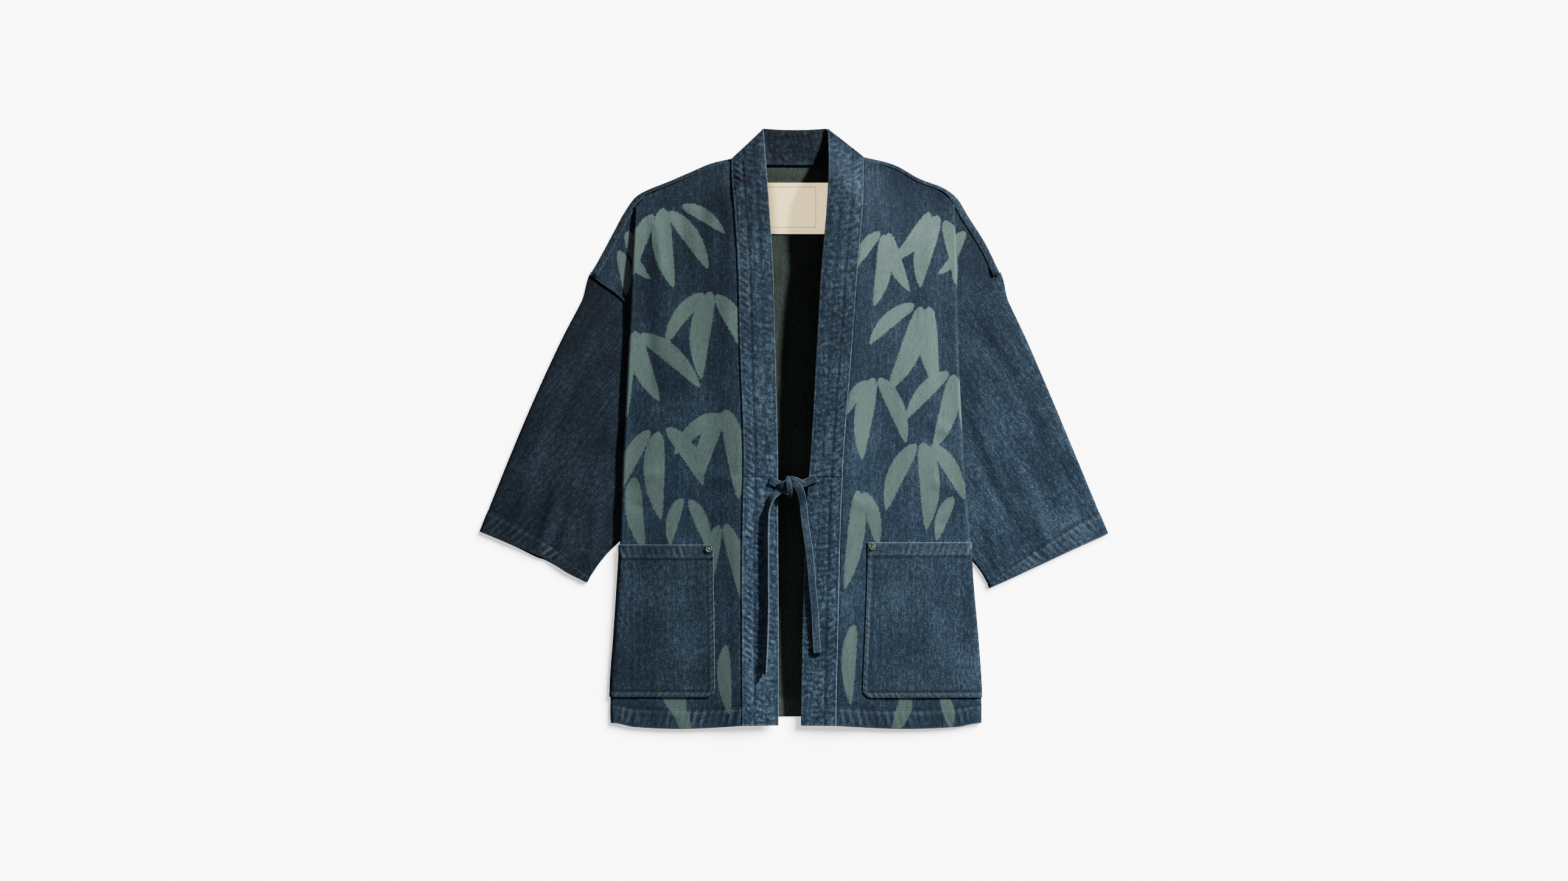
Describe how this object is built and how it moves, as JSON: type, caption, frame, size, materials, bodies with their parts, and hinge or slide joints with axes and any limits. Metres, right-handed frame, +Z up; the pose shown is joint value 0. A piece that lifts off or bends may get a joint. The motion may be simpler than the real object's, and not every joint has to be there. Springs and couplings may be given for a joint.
{
  "type": "kimono jacket",
  "caption": "Denim kimono jacket laid flat: wide sleeves, quilted collar band tied at the waist and patch pockets.",
  "frame": {"origin": "centre of the laid jacket's outline, on the surface that it lies on", "axes": "+Z up from that surface, +Y from the hem to the neck, +X across, to the right as seen from above"},
  "size_m": [0.8382, 0.8009, 0.0405],
  "materials": {
    "denim": "indigo twill, washed, with pale worn edges",
    "denim_front": "indigo twill, washed, with brush painted leaves",
    "denim_band": "indigo twill, washed, puckered between rows of stitching",
    "denim_tie": "indigo twill strip, stitched along its edge",
    "denim_inside": "inner face of the twill, olive grey",
    "label_cotton": "smooth cream cotton with a plain printed frame",
    "aged_copper": "struck rivet with a green grey patina"
  },
  "bodies": {
    "root": {"back_panel": "denim_inside", "band_neck": "denim_band", "neck_label": "label_cotton", "front_left": "denim_front", "sleeve_left": "denim", "band_left_upper": "denim_band", "band_left_lower": "denim_band", "shoulder_seam_left": "denim", "armhole_seam_left": "denim", "pocket_left": "denim", "rivet_left": "aged_copper", "tie_lead_left": "denim_tie", "tie_tail_left": "denim_tie", "front_right": "denim_front", "sleeve_right": "denim", "band_right_upper": "denim_band", "band_right_lower": "denim_band", "shoulder_seam_right": "denim", "armhole_seam_right": "denim", "pocket_right": "denim", "rivet_right": "aged_copper", "tie_lead_right": "denim_tie", "tie_tail_right": "denim_tie", "tie_knot": "denim_tie"}
  },
  "joints": []
}
